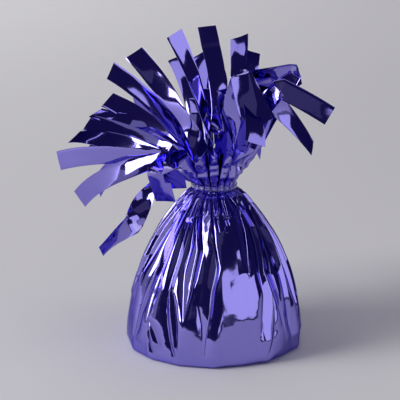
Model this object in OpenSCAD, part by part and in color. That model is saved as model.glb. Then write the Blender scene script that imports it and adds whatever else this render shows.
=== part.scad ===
// Balloon weight: a weighted cup in a fringed wrapper of metallised foil, tied at the neck.
// Lengths in millimetres and angles in degrees. The origin is on the surface that it stands on,
// under the middle of the base. Azimuth 0 is right, 90 is back, 180 is left and 270 is front.

/* [Weight] */
// Diameter over the foil at the base
base_d = 68; // [60:0.5:80]
// Wall of the moulded cup
shell_wall = 1.2; // [0.8:0.1:2.4]
// Height at which the side of the cup turns into its dome
shoulder_h = 30; // [24:0.5:34]
// Height of the dome above that
dome_h = 14; // [10:0.5:18]
// Thickness of the disc that closes the cup
plug_t = 1.6; // [1:0.1:3]
// Clearance round that disc
plug_gap = 0.15; // [0.05:0.05:0.4]
// Shrinkage between the cast filling and the cup
cast_gap = 0.1; // [0.05:0.05:0.3]

/* [Foil side] */
// Thickness of the foil, drawn thicker than the film is
foil_t = 0.4; // [0.3:0.05:0.6]
// Clearance between the foil and the cup
foil_gap = 0.4; // [0.2:0.05:1]
// Height of the side from the base to the gathered neck
side_h = 61.6; // [58:0.2:70]
// Radius of the side where it turns in to the neck
collar_r = 11; // [10:0.25:13]
// Height of the rounded turn into the neck
collar_h = 1.6; // [1:0.1:3]
// How late the side turns in: a higher figure gives fuller hips
hip_power = 2.4; // [1.8:0.1:3]
// Radius of the rounded edge at the base
edge_r = 2; // [1.5:0.25:4]
// Width of the hem that is tucked under the base
hem_w = 7; // [4:0.5:12]
// Number of folds round the side
fold_count = 27; // [18:1:30]
// Depth of the deepest fold, at the neck
fold_depth = 3.2; // [1.5:0.1:4]

/* [Neck] */
// Radius over the gathered neck
neck_r = 8.2; // [7:0.1:9.5]
// Length of the gathered neck
neck_len = 4.8; // [4:0.2:8]
// Depth of the flutes in the gathered neck
flute_depth = 2.4; // [1.2:0.1:3.5]
// Width of the elastic band
band_w = 1.6; // [1:0.1:2.4]
// Thickness of the elastic band
band_t = 0.6; // [0.4:0.1:1.2]
// Clearance between the band and the crests of the neck
band_gap = 0.05; // [0.02:0.01:0.2]

/* [Ruff and fringe] */
// Number of strips in the fringe
fringe_count = 36; // [24:2:48]
// Width of one strip between its cuts
strip_w = 8; // [6:0.25:10]
// Width that the cuts take from each strip
cut_w = 0.4; // [0.2:0.1:1]
// Uncut length of foil above the neck
ruff_len = 17; // [12:0.5:24]
// Length of the cut strips
fringe_len = 50; // [30:1:60]
// Mean rise of the ruff above level
ruff_rise_deg = 44; // [35:1:55]
// How much more than that mean it rises where it is steepest
ruff_lean_deg = 19; // [0:1:22]
// Azimuth at which it is steepest, at the right of the front
ruff_lean_az = 325; // [270:5:360]

/* [Hidden] */
// Height of the gathered neck's top
neck_top = side_h + neck_len;
// Mean radius of the fluted neck
neck_mid_r = neck_r - flute_depth / 2;
// Radius over the foil at the base
base_r = base_d / 2;
// Turn from one strip to the next
strip_turn = 360 / fringe_count;
// Turn of a flank of the ruff about its own line
flank_roll = 62;
// Thickness of the ruff, measured square to its cone
ruff_t = foil_t / cos(flank_roll);
// Half the height of the ruff's folds at its rim, where each flank is one strip wide
rim_chord = 2 * (neck_mid_r + ruff_len * cos(ruff_rise_deg)) * sin(strip_turn / 2);
rim_flute = sqrt(max(0, strip_w * strip_w - rim_chord * rim_chord)) / 2;
up = [0, 0, 1];
round_steps = 72;
cup_steps = 3;
strip_steps = 10;
ruff_steps = 3;

// Share of the side's height for each ring of the foil above its rounded edge
side_shares = [0.08, 0.22, 0.41, 0.6, 0.79, 0.92];
// Share of the fold's depth at the same heights
depth_shares = [0.06, 0.16, 0.3, 0.5, 0.75, 0.95];
// Depth of each fold as a share of the deepest, and how far its valley stands
// off the middle between two crests, as a share of that distance
fold_shares = [
    [0.8, 0.1], [0.5, -0.3], [0.9, 0.2], [0.6, 0], [0.7, -0.2], [1, 0.3], [0.5, 0.1],
    [0.8, -0.1], [0.6, 0.3], [0.9, 0], [0.4, -0.2], [0.7, 0.2], [1, -0.1], [0.6, 0.1],
    [0.9, 0.3], [0.7, -0.3], [1, 0], [0.5, 0.2], [0.8, -0.2], [0.9, 0.1], [0.3, 0.4],
    [0.4, -0.4], [0.6, 0], [1, 0.2], [0.7, -0.1], [0.9, 0.2], [0.6, -0.2]
];

// Each strip in turn: rise at the root and at the tip, swing round from its own azimuth
// at the root and at the tip, and roll about its own line at the tip
strip_angles = [
    [62, 58, 15, 15, -40], [20, -60, 65, 80, 80], [30, -30, 55, 62, -40],
    [38, 4, 26, 30, 75], [50, -10, 32, 42, -20], [64, 8, 24, 32, 20],
    [74, 22, 16, 24, -20], [45, 0, 22, 28, 30], [62, 5, 1, 12, 30],
    [56, 14, -3, 7, -30], [54, 16, -6, 3, -20], [24, 2, 5, 5, 80],
    [22, 6, 5, 5, -40], [16, 1, -4, -2, 160], [12, -3, -10, -15, -45],
    [6, -9, -20, -25, 160], [0, -16, -30, -40, -30], [-12, -40, -30, -70, 80],
    [15, -14, -40, -60, -30], [4, -20, -32, -62, 90], [-14, -40, -40, -85, -110],
    [-14, -90, 30, 0, -120], [10, -6, 30, 34, 0], [14, -4, 26, 30, 180],
    [60, 34, -34, -46, -60], [60, 32, -110, -120, 140], [80, 64, -30, -88, -50],
    [72, 54, -200, -150, -10], [74, 78, 15, 25, 40], [80, 85, 30, 40, 20],
    [70, 75, 0, -40, -20], [63, 44, 18, 40, 70], [66, 54, 40, 78, -120],
    [68, 64, 20, 20, 50], [64, 58, 20, 25, -40], [62, 58, 15, 15, 60]
];
// Strips that are creased across: number, share of the length before the crease, turn there
crease_shares = [
    [0, 0.32, 118], [21, 0.65, 50], [22, 0.6, -130], [23, 0.66, -140], [27, 0.85, 12],
    [28, 0.65, -145], [29, 0.6, -140], [30, 0.45, -100], [31, 0.57, -76], [32, 0.4, -105],
    [33, 0.52, 130], [34, 0.42, 120], [35, 0.62, 128]
];

strip_names = [for (i = [0:fringe_count - 1]) str("fringe_strip_", i < 9 ? "0" : "", i + 1)];

function unit(v) = v / norm(v);
function mix(a, b, s) = a * (1 - s) + b * s;
function ease(s) = let (c = min(max(s, 0), 1)) c * c * (3 - 2 * c);
function outward(a) = [cos(a), sin(a), 0];

// Radius over the crests of the foil side at height z
function side_r(z) = collar_r + (base_r - collar_r) * (1 - pow(z / side_h, hip_power));
// Share of the fold's depth at height z, read between the rings
function depth_share(z) = lookup(z / side_h,
    concat([[0, 0]], [for (k = [0:len(side_shares) - 1]) [side_shares[k], depth_shares[k]]]));

// Triangles between equal rings of n points. Past a given ring or corner the squares are cut
// along their other diagonal, so that both faces of a thin wall are cut along the same line
function band_faces(rings, n, far_ring, far_corner) = [
    for (k = [0:rings - 2], j = [0:n - 1])
        let (a = k * n + j, b = k * n + (j + 1) % n)
            each k < far_ring && j < far_corner
                ? [[a, b + n, b], [a, a + n, b + n]]
                : [[a, a + n, b], [b, a + n, b + n]]
];

// Radius of the cup at height z, clear of the folds
function cup_r(z) = side_r(z) - foil_t - foil_gap - fold_depth * depth_share(z);
// Radius of the cup's foot, inside the rounded edge of the foil
foot_r = base_r - edge_r;
// Outline of the cup's side and dome above its chamfered foot, drawn in by a wall. The dome
// is an ellipse in height and, like the side, follows the foil inwards
function cup_outline(wall) = concat(
    [for (k = [0:cup_steps]) let (z = mix(edge_r, shoulder_h, k / cup_steps)) [cup_r(z) - wall, z]],
    [for (k = [1:cup_steps])
        let (q = 90 * k / cup_steps, z = shoulder_h + (dome_h - wall) * sin(q))
            [(cup_r(z) - wall) * cos(q), z]]
);

module weight_shell() {
    color("gainsboro")
        rotate_extrude($fn = round_steps)
            difference() {
                polygon(concat([[0, foil_t], [foot_r, foil_t]], cup_outline(0)));
                polygon(concat([[0, foil_t], [foot_r - shell_wall, foil_t]], cup_outline(shell_wall)));
            }
}

module filling() {
    color("lightgray")
        rotate_extrude($fn = round_steps)
            intersection() {
                polygon(concat(
                    [[0, foil_t], [foot_r - shell_wall - cast_gap, foil_t]],
                    cup_outline(shell_wall + cast_gap)
                ));
                translate([0, foil_t + plug_t])
                    square([base_r, side_h]);
            }
}

// The disc stands in the mouth of the cup, and its middle fills the ring of the hem
module base_plug() {
    color("gainsboro") {
        translate([0, 0, foil_t])
            cylinder(h = plug_t, r = foot_r - shell_wall - plug_gap, $fn = round_steps);
        cylinder(h = foil_t + plug_t, r = foot_r - hem_w - plug_gap, $fn = round_steps);
    }
}

// Rings of the foil side: radius, height, outward tilt of its wall and share of the fold depth
function side_rings() = concat(
    [
        [foot_r - hem_w, 0, -90, 0],
        [foot_r, 0, -90, 0],
        [base_r - edge_r * (1 - cos(45)), edge_r * (1 - sin(45)), -45, 0]
    ],
    [for (k = [0:len(side_shares) - 1])
        let (z = side_shares[k] * side_h) [side_r(z), z, atan2(side_r(z - foil_t) - side_r(z), foil_t),
            depth_shares[k]]],
    [
        [collar_r, side_h - collar_h, 30, 1],
        [neck_r, side_h, 0, flute_depth / fold_depth]
    ]
);

// One ring of the foil side, moved in by a wall: a crest and a valley for each fold
function side_ring(ring, wall) = [
    for (i = [0:fold_count - 1], valley = [0, 1])
        let (
            fold = fold_shares[i % len(fold_shares)],
            share = valley == 0 ? 0 : fold[0] * ring[3],
            a = (i + valley * (0.5 + fold[1] / 2)) * 360 / fold_count,
            r = ring[0] - share * fold_depth - wall * cos(ring[2])
        )
            outward(a) * r + up * (ring[1] - wall * sin(ring[2]))
];

module foil_side() {
    rings = side_rings();
    count = 2 * fold_count;
    outer = [for (ring = rings) each side_ring(ring, 0)];
    inner = [for (k = [len(rings) - 1:-1:0]) each side_ring(rings[k], foil_t)];
    last = (2 * len(rings) - 1) * count;
    closing = [
        for (j = [0:count - 1])
            let (a = last + j, b = last + (j + 1) % count, d = (j + 1) % count)
                each [[a, d, b], [a, j, d]]
    ];
    color("mediumslateblue")
        polyhedron(
            concat(outer, inner),
            concat(band_faces(2 * len(rings), count, len(rings), count), closing)
        );
}

module foil_neck() {
    color("slateblue")
        translate([0, 0, side_h])
            linear_extrude(neck_len)
                polygon([
                    for (i = [0:fringe_count - 1])
                        let (r = i % 2 == 0 ? neck_r - flute_depth : neck_r)
                            [r * cos(i * strip_turn), r * sin(i * strip_turn)]
                ]);
}

module neck_band() {
    color("whitesmoke")
        translate([0, 0, side_h + (neck_len - band_w) / 2])
            rotate_extrude($fn = round_steps)
                translate([neck_r + band_gap, 0])
                    square([band_t, band_w]);
}

// A point of the ruff: fold line i, share s of its length, face -1 below or 1 above
function ruff_point(i, s, face) =
    let (
        a = i * strip_turn,
        e = ruff_rise_deg + ruff_lean_deg * cos(a - ruff_lean_az),
        along = outward(a) * cos(e) + up * sin(e),
        square_to = up * cos(e) - outward(a) * sin(e),
        lift = unit(mix(-outward(a), square_to, s)),
        fold = mix(flute_depth / 2, rim_flute, s) * (i % 2 == 0 ? 1 : -1)
    )
        outward(a) * neck_mid_r + up * neck_top + along * ruff_len * s + lift * (fold + face * ruff_t / 2);

module foil_ruff() {
    shares = [for (k = [0:ruff_steps]) k / ruff_steps];
    below = [for (s = shares, i = [0:fringe_count - 1]) ruff_point(i, s, -1)];
    above = [for (k = [ruff_steps:-1:0], i = [0:fringe_count - 1]) ruff_point(i, shares[k], 1)];
    last = (2 * ruff_steps + 1) * fringe_count;
    closing = [
        for (j = [0:fringe_count - 1])
            let (a = last + j, b = last + (j + 1) % fringe_count, d = (j + 1) % fringe_count)
                each [[a, d, b], [a, j, d]]
    ];
    color("slateblue")
        polyhedron(
            concat(below, above),
            concat(
                band_faces(2 * (ruff_steps + 1), fringe_count, ruff_steps + 1, fringe_count),
                closing
            )
        );
}

// Turn of strip i after share s of its length
function crease_turn(i, s) =
    let (rows = [for (row = crease_shares) if (row[0] == i && s > row[1]) row[2]])
        len(rows) > 0 ? rows[0] : 0;
// Direction that strip i takes at share s
function strip_along(i, s) =
    let (
        row = strip_angles[i % len(strip_angles)],
        e = mix(row[0], row[1], s) + crease_turn(i, s),
        a = (i + 0.5) * strip_turn + mix(row[2], row[3], s)
    )
        outward(a) * cos(e) + up * sin(e);
// Direction across strip i at share s: it leaves the ruff along the flank, then rolls
function strip_across(i, s, flank, along) =
    let (
        row = strip_angles[i % len(strip_angles)],
        a = (i + 0.5) * strip_turn + mix(row[2], row[3], s),
        level = [-sin(a), cos(a), 0],
        rise = cross(strip_along(i, s), level),
        start = i % 2 == 0 ? -flank_roll : flank_roll,
        roll = mix(start, row[4], ease(s)),
        free = mix(flank, level * cos(roll) + rise * sin(roll), ease(s * strip_steps / 4))
    )
        unit(free - along * (free * along));

// One strip: rings of four corners along its line, the first one on the rim of the ruff
module fringe_strip(i) {
    step = fringe_len / strip_steps;
    near = [ruff_point(i, 1, -1), ruff_point(i, 1, 1)];
    far = [ruff_point(i + 1, 1, -1), ruff_point(i + 1, 1, 1)];
    start = (near[0] + near[1] + far[0] + far[1]) / 4;
    flank = unit(far[0] + far[1] - near[0] - near[1]);
    heads = [for (k = [0:strip_steps - 1]) strip_along(i, (k + 0.5) / strip_steps)];
    line = [
        for (k = 0, p = start; k <= strip_steps; p = p + heads[min(k, strip_steps - 1)] * step, k = k + 1)
            p
    ];
    half = (strip_w - cut_w) / 2;
    rings = [
        for (k = [1:strip_steps])
            let (
                along = unit(heads[k - 1] + heads[min(k, strip_steps - 1)]),
                across = strip_across(i, k / strip_steps, flank, along) * half,
                thick = unit(cross(along, across)) * foil_t / 2
            )
                each [line[k] - across + thick, line[k] - across - thick,
                    line[k] + across - thick, line[k] + across + thick]
    ];
    points = concat([near[1], near[0], far[0], far[1]], rings);
    end = 4 * strip_steps;
    color(i % 2 == 0 ? "mediumslateblue" : "slateblue")
        polyhedron(
            points,
            concat(
                [[0, 1, 2], [0, 2, 3]],
                band_faces(strip_steps + 1, 4, strip_steps, 2),
                [[end, end + 2, end + 1], [end, end + 3, end + 2]]
            )
        );
}

weight_shell();
filling();
base_plug();
foil_side();
foil_neck();
neck_band();
foil_ruff();
for (i = [0:fringe_count - 1])
    fringe_strip(i);
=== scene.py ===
"""Dresses a foil-wrapped balloon weight over its CAD frame.

The wrapper is one sheet of film. It is tucked under the cup as a hem, runs up the side in
pleats, is gathered at the neck, and ends above it in a folded ruff and a cut fringe.
The tables are in millimetres and degrees. Azimuth 0 is right, 90 is back, 180 is left and
270 is front, and the meshes are written in metres.
"""

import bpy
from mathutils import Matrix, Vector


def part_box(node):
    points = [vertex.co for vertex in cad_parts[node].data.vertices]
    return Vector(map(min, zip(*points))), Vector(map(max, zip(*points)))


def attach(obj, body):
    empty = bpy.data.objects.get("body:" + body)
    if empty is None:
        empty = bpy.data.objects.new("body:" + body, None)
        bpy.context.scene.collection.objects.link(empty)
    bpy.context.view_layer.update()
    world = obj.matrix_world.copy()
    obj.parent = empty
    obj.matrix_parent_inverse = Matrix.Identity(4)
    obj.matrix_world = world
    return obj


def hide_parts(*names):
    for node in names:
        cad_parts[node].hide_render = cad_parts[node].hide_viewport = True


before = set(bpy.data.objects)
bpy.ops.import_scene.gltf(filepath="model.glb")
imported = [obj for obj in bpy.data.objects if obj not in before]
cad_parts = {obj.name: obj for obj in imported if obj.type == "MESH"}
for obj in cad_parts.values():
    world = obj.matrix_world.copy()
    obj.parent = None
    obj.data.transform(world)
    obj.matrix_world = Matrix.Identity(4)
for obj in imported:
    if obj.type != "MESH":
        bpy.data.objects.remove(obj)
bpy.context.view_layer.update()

import math

import bpy
import numpy as np

bl_info = {
    "name": "Foil Balloon Weight",
    "version": (1, 0, 0),
    "blender": (4, 5, 0),
    "location": "3D View > Sidebar > Balloon Weight",
    "description": "Dresses the balloon weight: foil skirt, ruff, fringe, band, cup and stage",
    "category": "Object",
}

MM = 0.001
BODY = "root"


# Sizes that the frame gives

def box_mm(node):
    """Lowest and highest corner of a CAD node, in millimetres."""
    low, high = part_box(node)
    return np.array(low) / MM, np.array(high) / MM


SIDE_TOP = float(box_mm("foil_side")[1][2])
NECK_TOP = float(box_mm("foil_neck")[1][2])
NECK_R = float(box_mm("foil_neck")[1][1])
BAND_LOW, BAND_HIGH = (float(corner[2]) for corner in box_mm("neck_band"))
TIE_Z = (BAND_LOW + BAND_HIGH) / 2


class FoilSizes(bpy.types.PropertyGroup):
    """Sizes and colours of the film."""
    base_radius: bpy.props.FloatProperty(
        name="Base radius", description="Radius over the film at the base",
        default=0.034, min=0.02, max=0.06, unit="LENGTH")
    collar_radius: bpy.props.FloatProperty(
        name="Collar radius", description="Radius where the side turns in to the neck",
        default=0.011, min=0.006, max=0.02, unit="LENGTH")
    hip_power: bpy.props.FloatProperty(
        name="Hip power", description="How late the side turns in", default=2.4, min=1.5, max=4)
    edge_radius: bpy.props.FloatProperty(
        name="Edge radius", description="Rounding of the bottom edge",
        default=0.002, min=0.0005, max=0.005, unit="LENGTH")
    hem: bpy.props.FloatProperty(
        name="Hem", description="Width of film tucked under the base",
        default=0.007, min=0.002, max=0.015, unit="LENGTH")
    sheet_width: bpy.props.FloatProperty(
        name="Sheet width", description="Width of the flat sheet, which laps over at the back",
        default=0.288, min=0.2, max=0.4, unit="LENGTH")
    film: bpy.props.FloatProperty(
        name="Film thickness", description="Thickness of the film as drawn",
        default=0.00012, min=0.00003, max=0.0005, unit="LENGTH")
    colour: bpy.props.FloatVectorProperty(
        name="Film colour", description="Dyed and metallised film, sRGB",
        default=(0.585, 0.55, 0.9), size=3, min=0, max=1, subtype="COLOR_GAMMA")


class FringeSizes(bpy.types.PropertyGroup):
    """Sizes of the ruff and its cut strips."""
    strip_width: bpy.props.FloatProperty(
        name="Strip width", description="Width of a strip between its cuts",
        default=0.0076, min=0.003, max=0.015, unit="LENGTH")
    strip_length: bpy.props.FloatProperty(
        name="Strip length", description="Length of a cut strip",
        default=0.05, min=0.02, max=0.08, unit="LENGTH")
    ruff_length: bpy.props.FloatProperty(
        name="Ruff length", description="Uncut film above the neck",
        default=0.017, min=0.008, max=0.03, unit="LENGTH")
    ruff_rise: bpy.props.FloatProperty(
        name="Ruff rise", description="Mean rise of the ruff above level",
        default=math.radians(44), subtype="ANGLE")
    ruff_lean: bpy.props.FloatProperty(
        name="Ruff lean", description="How much steeper the ruff rises where it is steepest",
        default=math.radians(19), subtype="ANGLE")
    ruff_azimuth: bpy.props.FloatProperty(
        name="Steepest azimuth", description="Azimuth at which the ruff is steepest",
        default=math.radians(325), subtype="ANGLE")


class CoreColours(bpy.types.PropertyGroup):
    """Colours of the weight inside the wrapper."""
    cup: bpy.props.FloatVectorProperty(
        name="Cup", description="Moulded polypropylene, sRGB",
        default=(0.86, 0.86, 0.85), size=3, min=0, max=1, subtype="COLOR_GAMMA")
    plaster: bpy.props.FloatVectorProperty(
        name="Plaster", description="Cast filling, sRGB",
        default=(0.79, 0.77, 0.73), size=3, min=0, max=1, subtype="COLOR_GAMMA")


class StageLook(bpy.types.PropertyGroup):
    """Floor colour and lamp levels of the studio."""
    floor: bpy.props.FloatVectorProperty(
        name="Floor", description="Matt paper, sRGB",
        default=(0.965, 0.96, 0.95), size=3, min=0, max=1, subtype="COLOR_GAMMA")
    key: bpy.props.FloatProperty(name="Key", description="Radiance of the key softbox", default=6.2)
    board: bpy.props.FloatProperty(
        name="Board", description="Radiance of the white board", default=1.0)
    side: bpy.props.FloatProperty(
        name="Side", description="Radiance of the left board", default=0.3)
    back: bpy.props.FloatProperty(
        name="Back", description="Radiance of the background lamp", default=1.5)
    ceiling: bpy.props.FloatProperty(
        name="Ceiling", description="Radiance of the top softbox", default=0.85)
    screen: bpy.props.FloatProperty(
        name="Screen", description="Radiance of the dim screen", default=0.07)


# Tables that were set one by one

def plain_pleat(top, mid, low, foot, depth, left, right):
    """Pleat of the back: azimuth at the neck, at mid height and at the foot, then as below."""
    return [(foot, low, 0, 0, 0), (38, mid, left, right, depth), (62, top, 3, 3, 2.4)]


# Pleats of the skirt, in order round it. Each row of a pleat is a height, the azimuth of its
# crest there, the width of its left and right flank in degrees, and its depth in mm
PLEATS = [
    plain_pleat(8, 10, 12, 10, 2.6, 7, 2), plain_pleat(20, 24, 26, 22, 2.2, 5, 2),
    plain_pleat(36, 38, 34, 8, 2.8, 3, 7), plain_pleat(62, 63, 66, 12, 2.8, 11, 1),
    plain_pleat(78, 80, 77, 6, 2.8, 3, 6), plain_pleat(93, 92, 95, 26, 2.2, 2, 5),
    plain_pleat(107, 110, 112, 9, 2.8, 8, 1), plain_pleat(122, 121, 118, 32, 2.2, 3, 3),
    plain_pleat(137, 139, 142, 10, 2.8, 10, 1), plain_pleat(153, 152, 150, 18, 2.6, 2, 6),
    plain_pleat(170, 168, 166, 7, 2.8, 4, 4), plain_pleat(187, 180, 176, 28, 2.2, 3, 3),
    [(20, 186, 0, 0, 0), (29, 186.5, 2, 2, 0.9), (37, 190, 4, 2, 1.7), (45, 190, 5, 2, 2.3),
     (54, 195, 5, 3, 2.4), (62, 204, 5, 3, 2.4)],
    [(26, 196, 0, 0, 0), (38, 198, 2, 3, 1.7), (48, 203, 3, 3, 2.2), (57, 210, 3, 3, 2.4),
     (62, 212, 3, 3, 2.4)],
    [(6, 206, 0, 0, 0), (10, 208, 2, 1, 0.7), (17, 210, 4, 1, 1.1), (27, 214, 6, 1.5, 1.6),
     (35, 218, 6, 2, 2.3), (42, 217, 4, 2, 2.6), (62, 220, 3, 2, 2.4)],
    [(14, 219, 0, 0, 0), (20, 220.5, 2, 1.5, 1.0), (25, 222, 3, 2, 1.5), (34, 225, 4, 2, 2.2),
     (44, 224, 4, 2, 2.6), (62, 228, 3, 2, 2.4)],
    [(2, 228, 0, 0, 0), (7, 227, 3.5, 4, 0.7), (12, 223, 2, 3, 0.7), (16, 221, 0, 0, 0),
     (30, 228, 0, 0, 0), (62, 232, 0, 0, 0)],
    [(3, 245, 0, 0, 0), (9, 243, 3, 3, 0.9), (15, 241, 4, 3, 1.1), (22, 238, 4, 3, 1.3),
     (28, 236, 2, 2, 1.0), (40, 238, 2, 2, 1.4), (50, 238, 3, 2, 2.0), (62, 237, 3, 3, 2.4)],
    [(18, 249, 0, 0, 0), (28, 252, 6, 0.8, 1.6), (36, 253.5, 10, 0.6, 2.3), (44, 255, 12, 0.6, 2.8),
     (49, 251.5, 9, 0.8, 2.8), (54, 247, 5, 2, 2.6), (62, 247, 4, 2, 2.4)],
    [(3, 263, 0, 0, 0), (12, 264, 2, 0.6, 0.5), (17, 265.5, 4, 0.6, 1.0), (22, 267, 8, 0.6, 1.4),
     (29, 268, 13, 0.6, 1.5), (32, 269.5, 12, 0.6, 1.3), (35, 271, 12, 0.5, 1.4),
     (38, 272, 12, 0.5, 1.5), (44, 270, 13, 0.5, 1.4), (50, 267.5, 13, 0.6, 1.3),
     (56, 265, 9, 1, 1.8), (62, 262, 5, 2, 2.4)],
    [(50, 276, 0, 0, 0), (56, 275, 2, 2, 1.6), (62, 275, 3, 3, 2.4)],
    [(52, 289, 0, 0, 0), (57, 288, 2, 2, 1.6), (62, 287, 3, 3, 2.4)],
    [(34, 298, 0, 0, 0), (41, 300, 1, 6, 1.8), (49, 305, 1, 7, 2.6), (56, 308, 2, 5, 2.6),
     (62, 303, 3, 3, 2.4)],
    [(2, 305, 0, 0, 0), (12, 310, 7, 4, 0.9), (20, 314, 8, 3, 1.2), (26, 316, 7, 2, 1.3),
     (31, 314, 5, 2, 1.5), (35, 312, 2, 2, 1.8), (42, 316, 2, 3, 2.4), (50, 323, 3, 3, 2.8),
     (62, 318, 3, 3, 2.4)],
    [(10, 326, 0, 0, 0), (13, 325, 1, 2, 0.6), (23, 321.5, 1, 3, 1.4), (34, 318.5, 1, 3, 2.3),
     (45, 324, 1, 3.5, 3.0), (54, 331, 2, 4, 3.0), (62, 331, 3, 3, 2.4)],
    [(6, 334, 0, 0, 0), (12, 334, 2, 0.8, 0.9), (23, 334.5, 2.5, 0.6, 1.5), (34, 337, 3, 0.5, 2.5),
     (43, 340, 3, 0.5, 3.2), (49, 343, 4, 0.8, 3.2), (62, 343, 3, 3, 2.4)],
    [(14, 345, 0, 0, 0), (24, 347, 2, 2, 1.2), (38, 349, 2, 3, 2.1), (62, 354, 3, 3, 2.4)],
    [(5, 349.5, 0, 0, 0), (9, 350, 1, 1, 0.6), (19, 356, 3, 2, 1.2), (31, 359, 4, 2, 2.0),
     (43, 361.5, 3, 2, 2.4), (62, 362, 3, 3, 2.4)],
]

# Dents and small lumps: azimuth, height, half width in degrees, half height in mm, depth in mm
DENTS = np.array([
    (188, 36, 3, 2, -0.6), (281, 33, 3, 5, 0.4), (60, 20, 8, 7, 0.5), (130, 16, 9, 6, 0.6),
    (100, 40, 7, 8, 0.5), (20, 14, 7, 7, 0.6), (160, 24, 6, 9, 0.5), (329, 16, 4, 7, 0.5),
    (200, 16, 6, 7, 0.5),
], float)

# Azimuths of the corners that the film makes round the foot, with flat panels between them
FOOT_CORNERS = np.array([8, 40, 75, 110, 142, 176, 204, 224, 246, 270, 307, 342], float)

# Pouches that hang under the neck: azimuth, lowest height, half width in degrees, height in mm
POUCHES = np.array([
    (200, 56, 8, 1.0), (220, 55, 8, 1.2), (238, 53, 7, 1.3), (254, 55, 6, 1.3), (264, 46, 3, 0.8),
    (272, 55, 6, 1.4), (289, 54, 9, 1.2), (311, 55, 8, 1.3), (331, 56, 8, 1.1), (350, 56, 8, 1.0),
], float)

# Shares of the way between two pleat lines at which the skirt has columns, on a flank and on the
# panel between two pleats
FLANK_SHARES = [0, 0.16, 0.5, 0.84]
PANEL_SHARES = [0, 0.07, 0.3, 0.5, 0.7, 0.93]
# Azimuth at the back where the sheet starts, and radius at which lengths round it are counted
LAP_START = 30
MEAN_R = 30
# Height of the hem's film over the floor
HEM_Z = 0.12
# Least width of a pleat's flank in degrees, its largest share of the gap to the pleat before and
# after it, and the depth of all pleats at the neck
LEAST_FLANK = 0.25
LEFT_SHARE, RIGHT_SHARE = 0.6, 0.35
NECK_PLEAT = 1.6
# Rise of the film's swell over its width, on a panel and on a flank, and the width it grows up to
PANEL_SWELL, FLANK_SWELL = 0.09, 0.02
SWELL_WIDTH = 7
# Room between the skirt and the cup inside it: at the floor, its growth with height up to the
# cup's dome, and the room and growth above that
DOME_Z = 32
FOOT_ROOM, FOOT_GROWTH = 0.62, 0.036
DOME_ROOM, DOME_GROWTH = 1.77, 0.3
# Depths of the skirt's small forms: corners of the foot outwards and panels between them inwards,
# creases on those panels, gathers under the band, long and short wrinkles, and the lap
CORNER_OUT, PANEL_IN, FOOT_CREASE = 0.8, 0.4, 0.3
GATHER_DEPTH = 0.55
LONG_WRINKLE, SHORT_WRINKLE = 0.3, 0.2
LAP_STEP = 0.3

# How far the middle of the ruff's film lies inside the neck's radius, half the depth of a fold
# packed in the neck, the power of the share at which the folds open, how much wider a flank is
# than a cut strip, and how far the ruff's start lies under the top of the neck
FOLD_IN = 1.2
PACKED_FOLD = 1.5
OPENING_POWER = 1.15
CUT_PLAY = 0.4
RUFF_DROP = 1.5
RUFF_ROWS = 24
# Shares between two fold lines at which the ruff has columns, the powers of the round loops'
# width and depth, and the heights of its broad and its small crumples
RUFF_SHARES = [0, 0.1, 0.32, 0.5, 0.68, 0.9]
LOOP_WIDTH_POWER, LOOP_DEPTH_POWER = 0.1, 1.4
BROAD_CRUMPLE, SMALL_CRUMPLE = 1.1, 0.6

# Each strip: rise at the root and at the tip, swing round from its own azimuth at the root and
# at the tip, and roll about its own line at the tip
STRIPS = np.array([
    (62, 58, 15, 15, -40), (20, -60, 65, 80, 80), (30, -30, 55, 62, -40),
    (38, 4, 26, 30, 75), (50, -10, 32, 42, -20), (64, 8, 24, 32, 20),
    (74, 22, 16, 24, -20), (45, 0, 22, 28, 30), (62, 5, 1, 12, 30),
    (56, 14, -3, 7, -30), (54, 16, -6, 3, -20), (24, 2, 5, 5, 80),
    (22, 6, 5, 5, -40), (16, 1, -4, -2, 160), (12, -3, -10, -15, -45),
    (6, -9, -20, -25, 160), (0, -16, -30, -40, -30), (-12, -40, -30, -70, 80),
    (15, -14, -40, -60, -30), (4, -20, -32, -62, 90), (-14, -40, -40, -85, -110),
    (-14, -90, 30, 0, -120), (10, -6, 30, 34, 0), (14, -4, 26, 30, 180),
    (60, 34, -34, -46, -60), (60, 32, -110, -120, 140), (80, 64, -30, -88, -50),
    (72, 54, -200, -150, -10), (74, 78, 15, 25, 40), (80, 85, 30, 40, 20),
    (70, 75, 0, -40, -20), (63, 44, 18, 40, 70), (66, 54, 40, 78, -120),
    (68, 64, 20, 20, 50), (64, 58, 20, 25, -40), (62, 58, 15, 15, 60),
], float)
# Strips that are creased across: share of the length before the crease, and turn there
CREASES = {
    0: (0.32, 118), 21: (0.65, 50), 22: (0.6, -130), 23: (0.66, -140), 27: (0.85, 12),
    28: (0.65, -145), 29: (0.6, -140), 30: (0.45, -100), 31: (0.57, -76), 32: (0.4, -105),
    33: (0.52, 130), 34: (0.42, 120), 35: (0.62, 128),
}
STRIP_COUNT = len(STRIPS)
STRIP_TURN = 360 / STRIP_COUNT
# Roll of a strip at its root, in degrees, where it stands on the flank of a fold
FLANK_ROLL = 62
# Share of a strip's length over which a crease turns, and that over which it is pale: partly crazed
# metal, partly a painted highlight at the bend
CREASE_SPREAD, CREASE_PALE_SPREAD = 0.03, 0.01
# Steps along a strip, and the shares of its half width at which it has points
STRIP_STEPS = 64
STRIP_SHARES = np.array([-1, -0.93, -0.6, -0.2, 0.2, 0.6, 0.93, 1])
# Depths of a strip's small forms: the gutter along its root, its slow wave, the curl of its cut
# edges, its buckles, and how far its tip may be cut askew
GUTTER, GUTTER_WAVE, EDGE_CURL, BUCKLE, TIP_SKEW = 0.5, 0.15, 0.1, 0.12, 0.5

# Radius of the band's beads, and how far their middle lies outside the neck's radius
BEAD_R = 0.3
BAND_OUT = 0.6

# Radii of the floor's rings of points
FLOOR_RINGS = np.array([1, 60, 150, 300, 600, 1000, 1500, 2000], float)
# Height of the middle of the object, which the lamps face
MIDDLE_Z = 60
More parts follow.
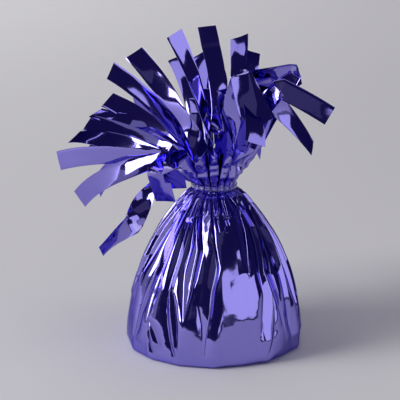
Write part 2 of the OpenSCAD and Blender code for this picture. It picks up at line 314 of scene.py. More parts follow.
# Softboxes: azimuth and elevation in degrees, distance, width and height in mm, the level that
# sets each one, and its tilt down and away from the object in degrees
LAMPS = {
    "key_softbox": (198, 28, 2000, 880, 1560, "key", 0),
    "background_lamp": (112, 33, 1150, 900, 500, "back", 87),
    "white_board": (322, 13, 900, 1100, 420, "board", 0),
    "left_board": (176, 12, 1300, 850, 900, "side", 0),
    "top_softbox": (90, 76, 2600, 3000, 2000, "ceiling", 0),
    "dim_screen": (258, 38, 2000, 1700, 1200, "screen", 0),
}
# Camera: tilt below level in degrees, distance from the object, aim to the side and up, and lens
CAMERA_TILT = 15
CAMERA_DISTANCE = 750
CAMERA_AIM = (-5.5, 57.7)
CAMERA_LENS = 172.9


# Small helpers for arrays

NOISE_SIZE = 64


def ease(s):
    """Smooth step: 0 below 0, 1 above 1, and 3s^2 - 2s^3 between."""
    c = np.clip(s, 0, 1)
    return c * c * (3 - 2 * c)


def mix(a, b, s):
    return a * (1 - s) + b * s


def unit(v):
    return v / np.maximum(np.linalg.norm(v, axis=-1, keepdims=True), 1e-12)


def outward(degrees):
    """Level direction at an azimuth: (cos a, sin a, 0)."""
    a = np.radians(degrees)
    return np.stack([np.cos(a), np.sin(a), np.zeros_like(a)], axis=-1)


def noise(x, y, seed):
    """Smooth noise between -1 and 1: random heights at whole numbers of x and y, eased between.
    It repeats after NOISE_SIZE of them."""
    heights = np.random.default_rng(seed).uniform(-1, 1, (NOISE_SIZE, NOISE_SIZE))
    i, j = np.floor(x).astype(int), np.floor(y).astype(int)
    u, v = ease(x - i), ease(y - j)

    def at(p, q):
        return heights[p % NOISE_SIZE, q % NOISE_SIZE]

    return mix(mix(at(i, j), at(i + 1, j), u), mix(at(i, j + 1), at(i + 1, j + 1), u), v)


def crumple(x, y, seed):
    """Creased noise: 1 less twice the size of smooth noise and less the size of a finer one. It
    has sharp ridges where they cross 0."""
    return 1 - 2 * np.abs(noise(x, y, seed)) - np.abs(noise(2.1 * x + 7, 2.1 * y, seed + 1))


# Meshes and materials

def linear(colour):
    """sRGB hex text or three sRGB shares to linear red, green, blue and alpha."""
    if isinstance(colour, str):
        colour = [int(colour[k:k + 2], 16) / 255 for k in (1, 3, 5)]
    return [c / 12.92 if c <= 0.04045 else ((c + 0.055) / 1.055) ** 2.4 for c in colour] + [1.0]


def surface_normals(grid, closed):
    """Unit normals of a grid (rows, columns, 3): the cross product of its two central slopes."""
    rows = np.gradient(grid, axis=0)
    columns = np.gradient(grid, axis=1)
    if closed:
        columns = (np.roll(grid, -1, axis=1) - np.roll(grid, 1, axis=1)) / 2
    return unit(np.cross(columns, rows))


def add_mesh(name, points, faces, sharp_from=None, attributes=()):
    """Object from points in mm and quads. Quads from number sharp_from on get sharp edges."""
    mesh = bpy.data.meshes.new(name)
    mesh.vertices.add(len(points))
    mesh.vertices.foreach_set("co", (np.asarray(points, float) * MM).ravel())
    mesh.loops.add(faces.size)
    mesh.loops.foreach_set("vertex_index", faces.ravel().astype(np.int32))
    mesh.polygons.add(len(faces))
    mesh.polygons.foreach_set("loop_start", np.arange(0, faces.size, 4, dtype=np.int32))
    mesh.update(calc_edges=True)
    mesh.polygons.foreach_set("use_smooth", np.ones(len(faces), bool))
    if sharp_from is not None:
        edge_of_loop = np.zeros(faces.size, np.int32)
        mesh.loops.foreach_get("edge_index", edge_of_loop)
        sharp = np.zeros(len(mesh.edges), bool)
        sharp[edge_of_loop[sharp_from * 4:]] = True
        mesh.attributes.new("sharp_edge", "BOOLEAN", "EDGE").data.foreach_set("value", sharp)
    for label, values in attributes:
        layer = mesh.attributes.new(label, "FLOAT", "POINT")
        layer.data.foreach_set("value", values.astype(np.float32))
    mesh.validate()
    ob = bpy.data.objects.new(name, mesh)
    bpy.context.scene.collection.objects.link(ob)
    return ob


def grid_quads(rows, columns, closed, start=0, flip=False):
    """Quads between neighbouring points of a grid, round it where it is closed."""
    across = columns if closed else columns - 1
    r, c = np.meshgrid(np.arange(rows - 1), np.arange(across), indexing="ij")
    d = (c + 1) % columns
    near, far = r * columns, (r + 1) * columns
    quads = np.stack([near + c, near + d, far + d, far + c], -1).reshape(-1, 4) + start
    return quads[:, ::-1] if flip else quads


def rim_quads(outer, inner):
    """Quads that join two matching lines of point numbers, end to end."""
    return np.stack([outer[1:], outer[:-1], inner[:-1], inner[1:]], -1)


def sheet_mesh(name, grid, thickness, closed=False, fold_wear_and_highlight=None, creased=None):
    """Closed thin shell: the grid, a second layer under it by the thickness, and a rim."""
    rows, columns = grid.shape[:2]
    under = grid - surface_normals(grid, closed) * thickness
    count = rows * columns
    ids = np.arange(count).reshape(rows, columns)
    first, last = (np.append(line, line[0]) if closed else line for line in (ids[0], ids[-1]))
    rims = [rim_quads(first, first + count), rim_quads(last, last + count)[:, ::-1]]
    if not closed:
        rims += [rim_quads(ids[:, 0], ids[:, 0] + count)[:, ::-1],
                 rim_quads(ids[:, -1], ids[:, -1] + count)]
    faces = np.concatenate([grid_quads(rows, columns, closed),
                            grid_quads(rows, columns, closed, count, flip=True), *rims])
    none = np.zeros((rows, columns))
    # Pale fold lines: partly worn, crazed metal, partly a painted highlight.
    fold_wear_and_highlight = none if fold_wear_and_highlight is None else fold_wear_and_highlight
    creased = none if creased is None else creased
    return add_mesh(
        name, np.concatenate([grid.reshape(-1, 3), under.reshape(-1, 3)]), faces,
        sharp_from=2 * len(grid_quads(rows, columns, closed)),
        attributes=[("fold_wear_and_highlight", np.tile(fold_wear_and_highlight.ravel(), 2)), ("crumple", np.tile(creased.ravel(), 2))])


def add_node(tree, kind, links=(), **settings):
    """Node of that kind. Settings name its properties, or its inputs where they start with in_;
    links are (output socket, input name or number)."""
    node = tree.nodes.new(kind)
    for key, value in settings.items():
        if key.startswith("in_"):
            node.inputs[key[3:].replace("_", " ")].default_value = value
        else:
            setattr(node, key, value)
    for source, target in links:
        tree.links.new(source, node.inputs[target])
    return node


def new_material(name):
    """Material with an empty node tree and its output node."""
    material = bpy.data.materials.new(name)
    material.use_nodes = True
    tree = material.node_tree
    tree.nodes.clear()
    return material, tree, add_node(tree, "ShaderNodeOutputMaterial")


def metallised_film():
    """Polyester film, dyed violet and vacuum metallised: a tinted mirror under a clear layer, so
    that highlights run from navy through violet to nearly white. Handling leaves soft buckles
    about 9 mm across and crinkles under 2 mm. Along sharp folds the colour is mixed towards a
    pale violet and made rougher: partly metal crazed pale there, partly a painted highlight."""
    material, tree, out = new_material("metallised_polyester_film")
    sizes = bpy.context.scene.foil_sizes
    place = add_node(tree, "ShaderNodeTexCoord")
    fold_wear_and_highlight = add_node(tree, "ShaderNodeAttribute", attribute_name="fold_wear_and_highlight")
    crumpled = add_node(tree, "ShaderNodeAttribute", attribute_name="crumple")
    buckle = add_node(tree, "ShaderNodeTexNoise", [(place.outputs["Object"], "Vector")],
                      in_Scale=1 / (9 * MM), in_Detail=1.0, in_Roughness=0.4)
    crinkle = add_node(tree, "ShaderNodeTexNoise", [(place.outputs["Object"], "Vector")],
                       in_Scale=1 / (1.6 * MM), in_Detail=3.0, in_Roughness=0.55)
    crazing = add_node(tree, "ShaderNodeTexVoronoi", [(place.outputs["Object"], "Vector")],
                       feature="DISTANCE_TO_EDGE", in_Scale=1 / (5 * MM))
    fold = add_node(tree, "ShaderNodeMapRange", [(crazing.outputs["Distance"], "Value")],
                    in_From_Max=0.25)
    depth = add_node(tree, "ShaderNodeMath",
                     [(fold.outputs["Result"], 0), (crumpled.outputs["Fac"], 1)],
                     operation="MULTIPLY")
    soft = add_node(tree, "ShaderNodeBump", [(buckle.outputs["Fac"], "Height")],
                    in_Strength=1.0, in_Distance=0.08 * MM)
    fine = add_node(tree, "ShaderNodeBump",
                    [(crinkle.outputs["Fac"], "Height"), (soft.outputs["Normal"], "Normal")],
                    in_Strength=1.0, in_Distance=0.005 * MM)
    sharp = add_node(tree, "ShaderNodeBump",
                     [(depth.outputs["Value"], "Height"), (fine.outputs["Normal"], "Normal")],
                     in_Strength=1.0, in_Distance=0.06 * MM)
    # The film's colour is mixed towards pale violet along folds: partly crazed metal, partly a
    # painted highlight.
    dye_and_fold_highlight = add_node(tree, "ShaderNodeMix", [(fold_wear_and_highlight.outputs["Fac"], "Factor")], data_type="RGBA")
    dye_and_fold_highlight.inputs["A"].default_value = linear(sizes.colour)
    dye_and_fold_highlight.inputs["B"].default_value = linear("#B9B2F4")
    rough = add_node(tree, "ShaderNodeMapRange", [(fold_wear_and_highlight.outputs["Fac"], "Value")],
                     in_To_Min=0.08, in_To_Max=0.22)
    film = add_node(tree, "ShaderNodeBsdfPrincipled",
                    [(dye_and_fold_highlight.outputs["Result"], "Base Color"), (rough.outputs["Result"], "Roughness"),
                     (sharp.outputs["Normal"], "Normal"), (sharp.outputs["Normal"], "Coat Normal")],
                    in_Metallic=1.0, in_Specular_Tint=linear("#8F86D8"), in_Coat_Weight=0.12,
                    in_Coat_Roughness=0.04, in_Coat_IOR=1.6)
    tree.links.new(film.outputs["BSDF"], out.inputs["Surface"])
    return material


def clear_elastic():
    """Clear thermoplastic elastic: colourless, with a soft gloss that is slightly clouded."""
    material, tree, out = new_material("clear_elastic")
    place = add_node(tree, "ShaderNodeTexCoord")
    cloud = add_node(tree, "ShaderNodeTexNoise", [(place.outputs["Object"], "Vector")],
                     in_Scale=1 / (1.5 * MM), in_Detail=2.0)
    rough = add_node(tree, "ShaderNodeMapRange", [(cloud.outputs["Fac"], "Value")],
                     in_To_Min=0.04, in_To_Max=0.15)
    bump = add_node(tree, "ShaderNodeBump", [(cloud.outputs["Fac"], "Height")],
                    in_Distance=0.03 * MM)
    band = add_node(tree, "ShaderNodeBsdfPrincipled",
                    [(rough.outputs["Result"], "Roughness"), (bump.outputs["Normal"], "Normal")],
                    in_Base_Color=linear("#F4F3FA"), in_IOR=1.5, in_Transmission_Weight=1.0)
    tree.links.new(band.outputs["BSDF"], out.inputs["Surface"])
    return material


def moulded_cup():
    """Injection-moulded polypropylene: satin, slightly waxy, with a fine spark-eroded grain."""
    material, tree, out = new_material("moulded_polypropylene")
    place = add_node(tree, "ShaderNodeTexCoord")
    grain = add_node(tree, "ShaderNodeTexNoise", [(place.outputs["Object"], "Vector")],
                     in_Scale=1 / (0.5 * MM), in_Detail=2.0)
    cloud = add_node(tree, "ShaderNodeTexNoise", [(place.outputs["Object"], "Vector")],
                     in_Scale=1 / (18 * MM), in_Detail=2.0)
    tone = add_node(tree, "ShaderNodeMix", [(cloud.outputs["Fac"], "Factor")], data_type="RGBA")
    tone.inputs["A"].default_value = linear(bpy.context.scene.core_colours.cup)
    tone.inputs["B"].default_value = linear("#CFCFCC")
    rough = add_node(tree, "ShaderNodeMapRange", [(cloud.outputs["Fac"], "Value")],
                     in_To_Min=0.38, in_To_Max=0.5)
    bump = add_node(tree, "ShaderNodeBump", [(grain.outputs["Fac"], "Height")],
                    in_Distance=0.03 * MM)
    cup = add_node(tree, "ShaderNodeBsdfPrincipled",
                   [(tone.outputs["Result"], "Base Color"), (rough.outputs["Result"], "Roughness"),
                    (bump.outputs["Normal"], "Normal")], in_IOR=1.49)
    tree.links.new(cup.outputs["BSDF"], out.inputs["Surface"])
    return material


def cast_plaster():
    """Cast gypsum plaster: matt, chalky, with pinholes about 1 mm across from trapped air."""
    material, tree, out = new_material("cast_gypsum_plaster")
    place = add_node(tree, "ShaderNodeTexCoord")
    cloud = add_node(tree, "ShaderNodeTexNoise", [(place.outputs["Object"], "Vector")],
                     in_Scale=1 / (9 * MM), in_Detail=4.0)
    holes = add_node(tree, "ShaderNodeTexVoronoi", [(place.outputs["Object"], "Vector")],
                     in_Scale=1 / (4 * MM))
    pit = add_node(tree, "ShaderNodeMapRange", [(holes.outputs["Distance"], "Value")],
                   in_From_Max=0.16)
    tone = add_node(tree, "ShaderNodeMix", [(cloud.outputs["Fac"], "Factor")], data_type="RGBA")
    tone.inputs["A"].default_value = linear(bpy.context.scene.core_colours.plaster)
    tone.inputs["B"].default_value = linear("#B9B5AA")
    bump = add_node(tree, "ShaderNodeBump", [(pit.outputs["Result"], "Height")],
                    in_Distance=0.4 * MM)
    plaster = add_node(tree, "ShaderNodeBsdfPrincipled",
                       [(tone.outputs["Result"], "Base Color"), (bump.outputs["Normal"], "Normal")],
                       in_Roughness=0.85)
    tree.links.new(plaster.outputs["BSDF"], out.inputs["Surface"])
    return material


def film_material():
    return bpy.data.materials.get("metallised_polyester_film") or metallised_film()


def finish_piece(ob, material, slot, *nodes):
    """Gives a piece its material and its body, and hides the CAD nodes that it stands for. The slot
    argument is not used.
    """
    ob.data.materials.append(material)
    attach(ob, BODY)
    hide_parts(*nodes)
    return ob


# Shapes of the film

def side_radius(z):
    """Radius of the smooth side over its crests: the collar's plus what is left of the base's,
    which falls as the height share to the hip power, and at last an eased turn to the neck."""
    sizes = bpy.context.scene.foil_sizes
    base, collar = sizes.base_radius / MM, sizes.collar_radius / MM
    share = np.clip(z / SIDE_TOP, 0, 1)
    side = collar + (base - collar) * (1 - share ** sizes.hip_power)
    return mix(side, NECK_R + 0.3, ease((z - BAND_LOW + 2.2) / 2.4))


def side_profile():
    """Radius and height down the middle of the skirt: hem, rounded edge, side and neck."""
    sizes = bpy.context.scene.foil_sizes
    edge, hem = sizes.edge_radius / MM, sizes.hem / MM
    base = sizes.base_radius / MM
    q = np.radians(np.linspace(0, 82, 6))
    flat = np.linspace(base - edge - hem, base - edge, 5)[:-1]
    z = np.concatenate([np.linspace(edge, 50, 52)[1:], np.linspace(50, TIE_Z, 30)[1:]])
    radius = np.concatenate([flat, base - edge + edge * np.sin(q), side_radius(z)])
    turn = HEM_Z + (edge - HEM_Z) * (1 - np.cos(q))
    height = np.concatenate([np.full(len(flat), HEM_Z), turn, z])
    return radius, height


def pleat_lines(z):
    """Azimuth and inward offset of each pleat's left foot, crest and right foot at each height,
    read off its rows. A pleat opens upwards from a point, with its width and its depth growing
    together, and its depth stays clear of the cup."""
    crest, left, right, depth = (
        np.array([np.interp(z, [row[0] for row in rows], [row[k] for row in rows])
                  for rows in PLEATS])
        for k in range(1, 5))
    before = crest - np.roll(crest, 1, axis=0)
    before[0] += 360
    after = np.roll(before, -1, axis=0)
    left = np.clip(left, LEAST_FLANK, np.maximum(LEFT_SHARE * before, 0.05))
    right = np.clip(right, LEAST_FLANK, np.maximum(RIGHT_SHARE * after, 0.05))
    room = np.where(z < DOME_Z, FOOT_ROOM + FOOT_GROWTH * z, DOME_ROOM + (z - DOME_Z) * DOME_GROWTH)
    inward = mix(np.minimum(depth, room), NECK_PLEAT, ease((z - SIDE_TOP + 5) / 5))
    azimuth = np.stack([crest - left, crest, crest + right], axis=1)
    offset = np.stack([inward, 0 * inward, inward], axis=1)
    return azimuth, offset


def skirt_columns(radius, height):
    """Azimuth, inward offset and crest mark of each column of the skirt at each height, for three
    turns. Columns stand close beside each crest, so that folds stay sharp. Between two pleat lines
    at share s the offset is a straight mix, less a low bulge that grows as 4 s (1 - s)."""
    rows = len(height)
    azimuth, offset = (lines.reshape(-1, rows) for lines in pleat_lines(height))
    count = len(azimuth)
    az, off, crest = [], [], []
    for turn in range(3):
        for k in range(count):
            n = (k + 1) % count
            a0 = azimuth[k] + 360 * turn
            a1 = azimuth[n] + 360 * (turn + (n == 0))
            on_panel = k % 3 == 2
            width = np.minimum(np.radians(np.maximum(a1 - a0, 0)) * radius, SWELL_WIDTH)
            swell = (PANEL_SWELL if on_panel else FLANK_SWELL) * width
            swell = swell * (offset[k] + offset[n] > 0.02)
            for share in (PANEL_SHARES if on_panel else FLANK_SHARES):
                az.append(mix(a0, a1, share))
                off.append(mix(offset[k], offset[n], share) - swell * 4 * share * (1 - share))
                crest.append(float(k % 3 == 1 and share == 0))
    return np.array(az).T, np.array(off).T, np.tile(np.array(crest), (rows, 1))


def pouch_bulges(az, z):
    """Share, 0 to 1, and height of the pouches at each point: upright capsules, open at the neck,
    with a steep rounded foot, which is an eased step of one less the distance from the middle."""
    a, low, wide, tall = (POUCHES[:, k][:, None, None] for k in range(4))
    across = ((az - a + 180) % 360 - 180) / wide
    under = np.maximum(0, low + 3 - z) / 3
    pouch = ease((1 - np.hypot(across, under)) / 0.5)
    return pouch.max(axis=0), (tall * pouch).max(axis=0)


def dent_depth(az, z):
    """Depth of the dents at each point: e to the minus 1.5th power of each distance, summed."""
    a, h, wide, tall, deep = (DENTS[:, k][:, None, None] for k in range(5))
    away = ((az - a + 180) % 360 - 180) / wide
    return (deep * np.exp(-np.abs(away) ** 1.5 - np.abs((z - h) / tall) ** 1.5)).sum(axis=0)


def foot_facets(az, z, radius):
    """Outward offset of the flat panels round the foot: the radius times the cosine of half a
    panel over the cosine of the turn from its middle, less the radius, with low creases on it."""
    corners = np.append(FOOT_CORNERS, FOOT_CORNERS[0] + 360)
    turned = (az - corners[0]) % 360 + corners[0]
    n = np.clip(np.searchsorted(corners, turned, side="right"), 1, len(FOOT_CORNERS))
    half = np.radians(corners[n] - corners[n - 1]) / 2
    flat = np.cos(half) / np.cos(np.radians(turned - corners[n - 1]) - half)
    panels = np.maximum(radius * (flat - 1) + CORNER_OUT, -PANEL_IN) * (1 - ease((z - 6) / 18))
    along = np.radians(az) * MEAN_R
    creases = crumple(along / 7, z / 20 + along / 40, seed=27)
    creases = creases * ease(z / 10) * (1 - ease((z - 14) / 8))
    return panels + FOOT_CREASE * np.maximum(creases, -0.3)


def skirt_grid():
    """Points of the skirt, its pale crest lines (partly worn metal, partly a painted highlight) and
    its creasing. The radius is the smooth side's, less the pleats, dents and gathers, plus the
    foot's panels, the pouches and the wrinkles. The sheet goes round more than once, and its
    lapped end lies a little outside its first."""
    sizes = bpy.context.scene.foil_sizes
    radius, height = side_profile()
    az, off, crest = skirt_columns(radius, height)
    turns = sizes.sheet_width / (2 * math.pi * sizes.base_radius)
    middle = az[len(height) // 2]
    chosen = (middle >= LAP_START) & (middle <= LAP_START + 360 * turns)
    az, off, crest = az[:, chosen], off[:, chosen], crest[:, chosen]
    z = np.tile(height[:, None], (1, az.shape[1]))
    radius = radius[:, None]
    along = np.radians(az) * MEAN_R
    # side fades out at the hem, and free fades out under the band
    side = ease((z - 3) / 6)
    free = 1 - ease((z - BAND_LOW + 1.6) / 1.6)
    pouched, pouches = pouch_bulges(az, z)
    loops = np.abs(np.sin(np.radians(az * 9.5 + 50 * noise(az / 30, z / 12, seed=6))))
    gathers = GATHER_DEPTH * loops * ease((z - SIDE_TOP + 6) / 3) * free * (1 - 0.7 * pouched)
    long_ones = LONG_WRINKLE * crumple(along / 17, z / 26, seed=11) * side * free
    short_ones = SHORT_WRINKLE * crumple(along / 12, z / 14, seed=21) * ease((z - 40) / 12) * free
    lap = LAP_STEP * ease((az - LAP_START - 110) / 200) * ease(z / 2)
    r = radius + foot_facets(az, z, radius) - off - dent_depth(az, z) * side - gathers
    r = r + pouches * free + long_ones + short_ones + lap
    grid = outward(az) * r[..., None]
    grid[..., 2] = z
    # Pale line along each crest: partly worn metal, partly a painted highlight on the crest.
    fold_wear_and_highlight = 0.8 * crest * ease((z - 4) / 8)
    creased = (0.1 + 0.3 * ease((z - 44) / 12)) * side
    return grid, fold_wear_and_highlight, creased


def ruff_line(i, s, side=None):
    """Middle of the film along fold line i at share s: straight out and up from the neck at the
    ruff's rise, lifted and lowered in turn by half the height of its folds. The folds are packed
    in the neck, and at the rim each flank is as wide as a strip. Between two lines i is a
    fraction, and side runs from -1 on the outer one to 1 on the inner one."""
    side = np.where(np.asarray(i) % 2 == 0, 1.0, -1.0) if side is None else side
    fringe = bpy.context.scene.fringe_sizes
    a = np.asarray(i, float) * STRIP_TURN
    rise = fringe.ruff_rise + fringe.ruff_lean * np.cos(np.radians(a) - fringe.ruff_azimuth)
    rise = rise[..., None]
    out, up = outward(a), np.array([0.0, 0.0, 1.0])
    middle_r = NECK_R - FOLD_IN
    along = out * np.cos(rise) + up * np.sin(rise)
    square_to = up * np.cos(rise) - out * np.sin(rise)
    s = np.asarray(s, float)[..., None]
    lift = unit(mix(-out, square_to, s))
    length = fringe.ruff_length / MM
    rim_r = middle_r + length * math.cos(fringe.ruff_rise)
    chord = 2 * rim_r * math.sin(math.radians(STRIP_TURN / 2))
    full = fringe.strip_width / MM + CUT_PLAY
    rim = math.sqrt(max(0.0, full * full - chord * chord)) / 2
    fold = mix(PACKED_FOLD, rim, s ** OPENING_POWER) * np.asarray(side)[..., None]
    start = out * (middle_r - (PACKED_FOLD - FOLD_IN) * (1 - s) ** 2) + up * NECK_TOP
    return start + along * length * s + lift * fold


def ruff_grid():
    """Points of the ruff: columns between neighbouring fold lines, close to each fold, from
    under the band up to the roots of the strips, with creased noise between. Its flanks are flat
    at the rim; towards the neck the outer folds swell to round loops, whose width grows as a root
    of the distance from their crest and whose depth grows as a power of it."""
    i = np.repeat(np.arange(STRIP_COUNT), len(RUFF_SHARES))
    t = np.tile(RUFF_SHARES, STRIP_COUNT)
    s = np.linspace(0, 1, RUFF_ROWS)[:, None]
    s_all = np.tile(s, (1, len(i)))
    from_crest = np.where(i % 2 == 0, 1 - t, t)[None]
    wide = mix(from_crest ** LOOP_WIDTH_POWER, from_crest, s ** 3)
    deep = mix(from_crest ** LOOP_DEPTH_POWER, from_crest, s ** 3)
    lines = i + np.where(i % 2 == 0, 1 - wide, wide)
    grid = ruff_line(lines, s_all, 2 * deep - 1)
    away = unit(grid - np.array([0, 0, NECK_TOP + 10]))
    inside = s * (1 - s) * 4
    a = np.tile((i + t) * STRIP_TURN, (RUFF_ROWS, 1))
    rough = BROAD_CRUMPLE * crumple(a / 15, s_all * 1.6, seed=31)
    rough = rough + SMALL_CRUMPLE * crumple(a / 7, s_all * 4, seed=35)
    grid = grid + away * (rough * inside)[..., None]
    # the ruff opens right above the band, with the neck under it
    grid[..., 2] -= RUFF_DROP * ((1 - s) ** 2)
    neck = np.repeat(grid[:1], 4, axis=0)
    neck[:, :, 2] = np.linspace(TIE_Z - 0.4, NECK_TOP - RUFF_DROP, 5)[:-1, None]
    grid = np.concatenate([neck, grid])
    # Pale line along each fold of the ruff: partly worn metal, partly a painted highlight.
    folds = np.tile((t == 0).astype(float), (len(grid), 1)) * 0.5
    return grid, folds, np.full(grid.shape[:2], 0.5)


def strip_grid(i):
    """Points of strip i. Its line leaves the rim of the ruff and turns steadily from one direction
    to another, with a crease across where the table has one; its width is the flank's at the
    root, then rolls about the line. The section is a shallow gutter that flattens to the tip."""
    fringe = bpy.context.scene.fringe_sizes
    rise0, rise1, swing0, swing1, roll1 = STRIPS[i]
    share, turn = CREASES.get(i, (2, 0))
    s = np.linspace(0, 1, STRIP_STEPS + 1)

    def along_at(s):
        e = np.radians(mix(rise0, rise1, s) + turn * ease((s - share) / CREASE_SPREAD + 0.5))
        a = (i + 0.5) * STRIP_TURN + mix(swing0, swing1, s)
        return outward(a) * np.cos(e)[:, None] + np.array([0, 0, 1.0]) * np.sin(e)[:, None], a

    near, far = ruff_line(i, 1.0), ruff_line(i + 1, 1.0)
    flank = unit(far - near)
    length = fringe.strip_length / MM
    heads, _ = along_at((s[:-1] + s[1:]) / 2)
    walked = np.cumsum(heads, axis=0) * length / STRIP_STEPS
    line = (near + far) / 2 + np.concatenate([np.zeros((1, 3)), walked])
    along, a = along_at(s)
    level = outward(a + 90)
    rise = np.cross(along, level)
    start = -FLANK_ROLL if i % 2 == 0 else FLANK_ROLL
    roll = np.radians(mix(start, roll1, ease(s)))[:, None]
    rolled = level * np.cos(roll) + rise * np.sin(roll)
    free = mix(np.tile(flank, (STRIP_STEPS + 1, 1)), rolled, ease(s * 2.5)[:, None])
    across = unit(free - along * (free * along).sum(axis=1, keepdims=True))
    normal = unit(np.cross(along, across))
    half = fringe.strip_width / MM / 2
    t = STRIP_SHARES
    wave = GUTTER_WAVE * noise(s * 4, 0 * s + i * 3.7, seed=41) * ease(s * 5)
    sag = GUTTER * (1 - s) ** 2 * ease(s * 8) + wave
    gutter = sag[:, None] * (t[None, :] ** 2 - 0.4) * (1 if i % 3 else -1)
    gutter = gutter + EDGE_CURL * (np.abs(t) == 1)[None, :] * ease(s * 8)[:, None]
    buckle = noise(s[:, None] * 9 + i, t[None, :] * 1.3 + i, seed=43) * ease(s * 6)[:, None]
    skew = TIP_SKEW * noise(np.array([i * 1.7]), np.array([0.5]), seed=44)[0]
    tip = ease((s - 0.9) / 0.1)[:, None] * skew * t[None, :]
    off = gutter + BUCKLE * buckle
    grid = line[:, None] + across[:, None] * (half * t)[None, :, None]
    grid = grid + normal[:, None] * off[..., None] + along[:, None] * tip[..., None]
    # Pale line across the crease: partly crazed metal, partly a painted highlight at the bend.
    fold_wear_and_highlight = np.exp(-((s - share) / CREASE_PALE_SPREAD) ** 2)[:, None] * np.ones(len(t))[None]
    creased = (0.3 * (1 - ease(s * 2)))[:, None] * np.ones(len(t))[None]
    return grid[:, ::-1], fold_wear_and_highlight, creased


def band_grid():
    """Points of the band: a section of two round beads side by side, carried round the neck."""
    q = np.radians(np.linspace(0, 360, 25)[:-1])
    turn = np.linspace(0, 360, 145)[:-1]
    half = (BAND_HIGH - BAND_LOW) / 2
    bead = BEAD_R * (0.35 + 0.65 * np.abs(np.sin(q)) ** 0.7 + 0.25 * np.cos(2 * q))
    ripple = 0.04 * np.sin(np.radians(turn * 5))
    sway = 0.1 * np.sin(np.radians(turn * 2 + 30))
    r = NECK_R + BAND_OUT + (np.cos(q) * bead)[:, None] + ripple[None]
    z = TIE_Z + 0.85 * half * np.sin(q)[:, None] + sway[None]
    grid = outward(np.tile(turn, (len(q), 1))) * r[..., None]
    grid[..., 2] = z
    return grid


# Operators

class SkirtOperator(bpy.types.Operator):
    """Make the pleated skirt of film round the cup, with its hem and its lapped back"""
    bl_idname = "balloonweight.skirt"
    bl_label = "Foil Skirt"

    def execute(self, context):
        sizes = context.scene.foil_sizes
        grid, fold_wear_and_highlight, creased = skirt_grid()
        ob = sheet_mesh("foil_skirt", grid, sizes.film / MM, fold_wear_and_highlight=fold_wear_and_highlight, creased=creased)
        finish_piece(ob, film_material(), "foil", "foil_side")
        return {"FINISHED"}


class RuffOperator(bpy.types.Operator):
    """Make the gathered neck and the folded ruff above it"""
    bl_idname = "balloonweight.ruff"
    bl_label = "Foil Ruff"

    def execute(self, context):
        grid, fold_wear_and_highlight, creased = ruff_grid()
        ob = sheet_mesh("foil_gathers", grid, context.scene.foil_sizes.film / MM, closed=True,
                        fold_wear_and_highlight=fold_wear_and_highlight, creased=creased)
        finish_piece(ob, film_material(), "foil", "foil_neck", "foil_ruff")
        return {"FINISHED"}


class FringeOperator(bpy.types.Operator):
    """Make the cut strips of the fringe, one piece each"""
    bl_idname = "balloonweight.fringe"
    bl_label = "Fringe Strips"

    def execute(self, context):
        for i in range(STRIP_COUNT):
            grid, fold_wear_and_highlight, creased = strip_grid(i)
            ob = sheet_mesh(f"foil_strip_{i + 1:02d}", grid, context.scene.foil_sizes.film / MM,
                            fold_wear_and_highlight=fold_wear_and_highlight, creased=creased)
            finish_piece(ob, film_material(), "foil", f"fringe_strip_{i + 1:02d}")
        return {"FINISHED"}


class BandOperator(bpy.types.Operator):
    """Make the clear elastic band that ties the neck"""
    bl_idname = "balloonweight.band"
    bl_label = "Neck Band"

    def execute(self, context):
        grid = band_grid()
        rows, columns = grid.shape[:2]
        # numbers past the last point come round to the first again
        faces = grid_quads(rows + 1, columns, True) % (rows * columns)
        ob = add_mesh("clear_band", grid.reshape(-1, 3), faces)
        finish_piece(ob, clear_elastic(), "band", "neck_band")
        return {"FINISHED"}


class CoreOperator(bpy.types.Operator):
    """Give the cup, its closing disc and the cast filling their materials"""
    bl_idname = "balloonweight.core"
    bl_label = "Cup And Filling"

    def execute(self, context):
        cup, plaster = moulded_cup(), cast_plaster()
        for node, material in (("weight_shell", cup), ("base_plug", cup), ("filling", plaster)):
            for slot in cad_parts[node].material_slots:
                slot.material = material
        return {"FINISHED"}


class StageOperator(bpy.types.Operator):
    """Make the paper floor, the lamps and the camera"""
    bl_idname = "balloonweight.stage"
    bl_label = "Stage"

    def execute(self, context):
        look = context.scene.stage_look
        add_floor(look)
        for name, (azimuth, elevation, distance, wide, tall, level, tilt) in LAMPS.items():
            add_lamp(name, azimuth, elevation, distance, wide, tall, getattr(look, level), tilt)
        world = bpy.data.worlds.new("dim_studio")
        world.use_nodes = True
        world.node_tree.nodes["Background"].inputs["Color"].default_value = linear("#251F46")
        context.scene.world = world
        add_camera()
        context.scene.view_settings.view_transform = "Standard"
        return {"FINISHED"}


def add_floor(look):
    """Level disc of paper, 2 m in radius: rings of points whose radius grows outwards."""
    turn = np.linspace(0, 360, 97)[:-1]
    grid = outward(np.tile(turn, (len(FLOOR_RINGS), 1))) * FLOOR_RINGS[:, None, None]
    faces = grid_quads(len(FLOOR_RINGS), len(turn), True, flip=True)
    ob = add_mesh("paper_floor", grid.reshape(-1, 3), faces)
    material, tree, out = new_material("matt_paper")
    place = add_node(tree, "ShaderNodeTexCoord")
    fibre = add_node(tree, "ShaderNodeTexNoise", [(place.outputs["Object"], "Vector")],
                     in_Scale=1 / (0.8 * MM), in_Detail=3.0)
    bump = add_node(tree, "ShaderNodeBump", [(fibre.outputs["Fac"], "Height")],
                    in_Distance=0.01 * MM)
    paper = add_node(tree, "ShaderNodeBsdfPrincipled", [(bump.outputs["Normal"], "Normal")],
                     in_Base_Color=linear(look.floor), in_Roughness=0.9)
    tree.links.new(paper.outputs["BSDF"], out.inputs["Surface"])
    ob.data.materials.append(material)


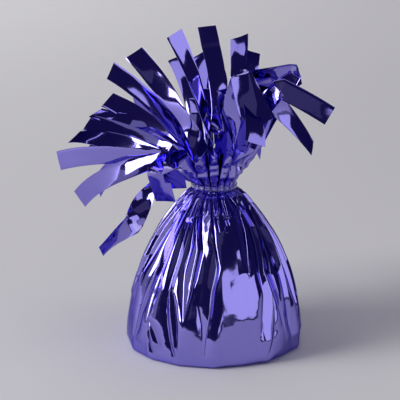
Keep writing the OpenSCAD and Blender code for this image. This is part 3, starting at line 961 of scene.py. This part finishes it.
def add_lamp(name, azimuth, elevation, distance, wide, tall, radiance, tilt):
    """Rectangular softbox, in mm and degrees, that faces the middle of the object, or is tilted
    down and away from it. Its power is radiance times pi times its area."""
    data = bpy.data.lights.new(name, "AREA")
    data.shape = "RECTANGLE"
    data.size, data.size_y = wide * MM, tall * MM
    data.energy = radiance * math.pi * data.size * data.size_y
    ob = bpy.data.objects.new(name, data)
    a, e = math.radians(azimuth), math.radians(elevation)
    target = np.array([0, 0, MIDDLE_Z * MM])
    towards = np.array([math.cos(a) * math.cos(e), math.sin(a) * math.cos(e), math.sin(e)])
    ob.location = target + towards * distance * MM
    ob.rotation_euler = (math.pi / 2 - e - math.radians(tilt), 0, a + math.pi / 2)
    bpy.context.scene.collection.objects.link(ob)


def add_camera():
    """Camera at the photograph's angle, with a long lens."""
    data = bpy.data.cameras.new("photo_camera")
    data.sensor_width = 36
    data.lens = CAMERA_LENS
    ob = bpy.data.objects.new("photo_camera", data)
    tilt, distance = math.radians(CAMERA_TILT), CAMERA_DISTANCE * MM
    aside, up = (shift * MM for shift in CAMERA_AIM)
    ob.location = (aside, -distance * math.cos(tilt), up + distance * math.sin(tilt))
    ob.rotation_euler = (math.radians(90) - tilt, 0, 0)
    data.clip_start, data.clip_end = 0.01, 20
    bpy.context.scene.collection.objects.link(ob)
    bpy.context.scene.camera = ob


class WeightPanel(bpy.types.Panel):
    """Lists the pieces of the balloon weight"""
    bl_idname = "VIEW3D_PT_balloonweight"
    bl_label = "Balloon Weight"
    bl_space_type = "VIEW_3D"
    bl_region_type = "UI"
    bl_category = "Balloon Weight"

    def draw(self, context):
        for operator in OPERATORS:
            self.layout.operator(operator.bl_idname)


OPERATORS = (CoreOperator, SkirtOperator, RuffOperator, BandOperator, FringeOperator, StageOperator)
GROUPS = {
    "foil_sizes": FoilSizes, "fringe_sizes": FringeSizes,
    "core_colours": CoreColours, "stage_look": StageLook,
}


def register():
    for kind in (*GROUPS.values(), *OPERATORS, WeightPanel):
        bpy.utils.register_class(kind)
    for name, kind in GROUPS.items():
        setattr(bpy.types.Scene, name, bpy.props.PointerProperty(type=kind))


def unregister():
    for name in GROUPS:
        delattr(bpy.types.Scene, name)
    for kind in (WeightPanel, *reversed(OPERATORS), *reversed(GROUPS.values())):
        bpy.utils.unregister_class(kind)


def main():
    register()
    for operator in OPERATORS:
        getattr(bpy.ops.balloonweight, operator.bl_idname.split(".")[1])()


if __name__ == "__main__":
    main()
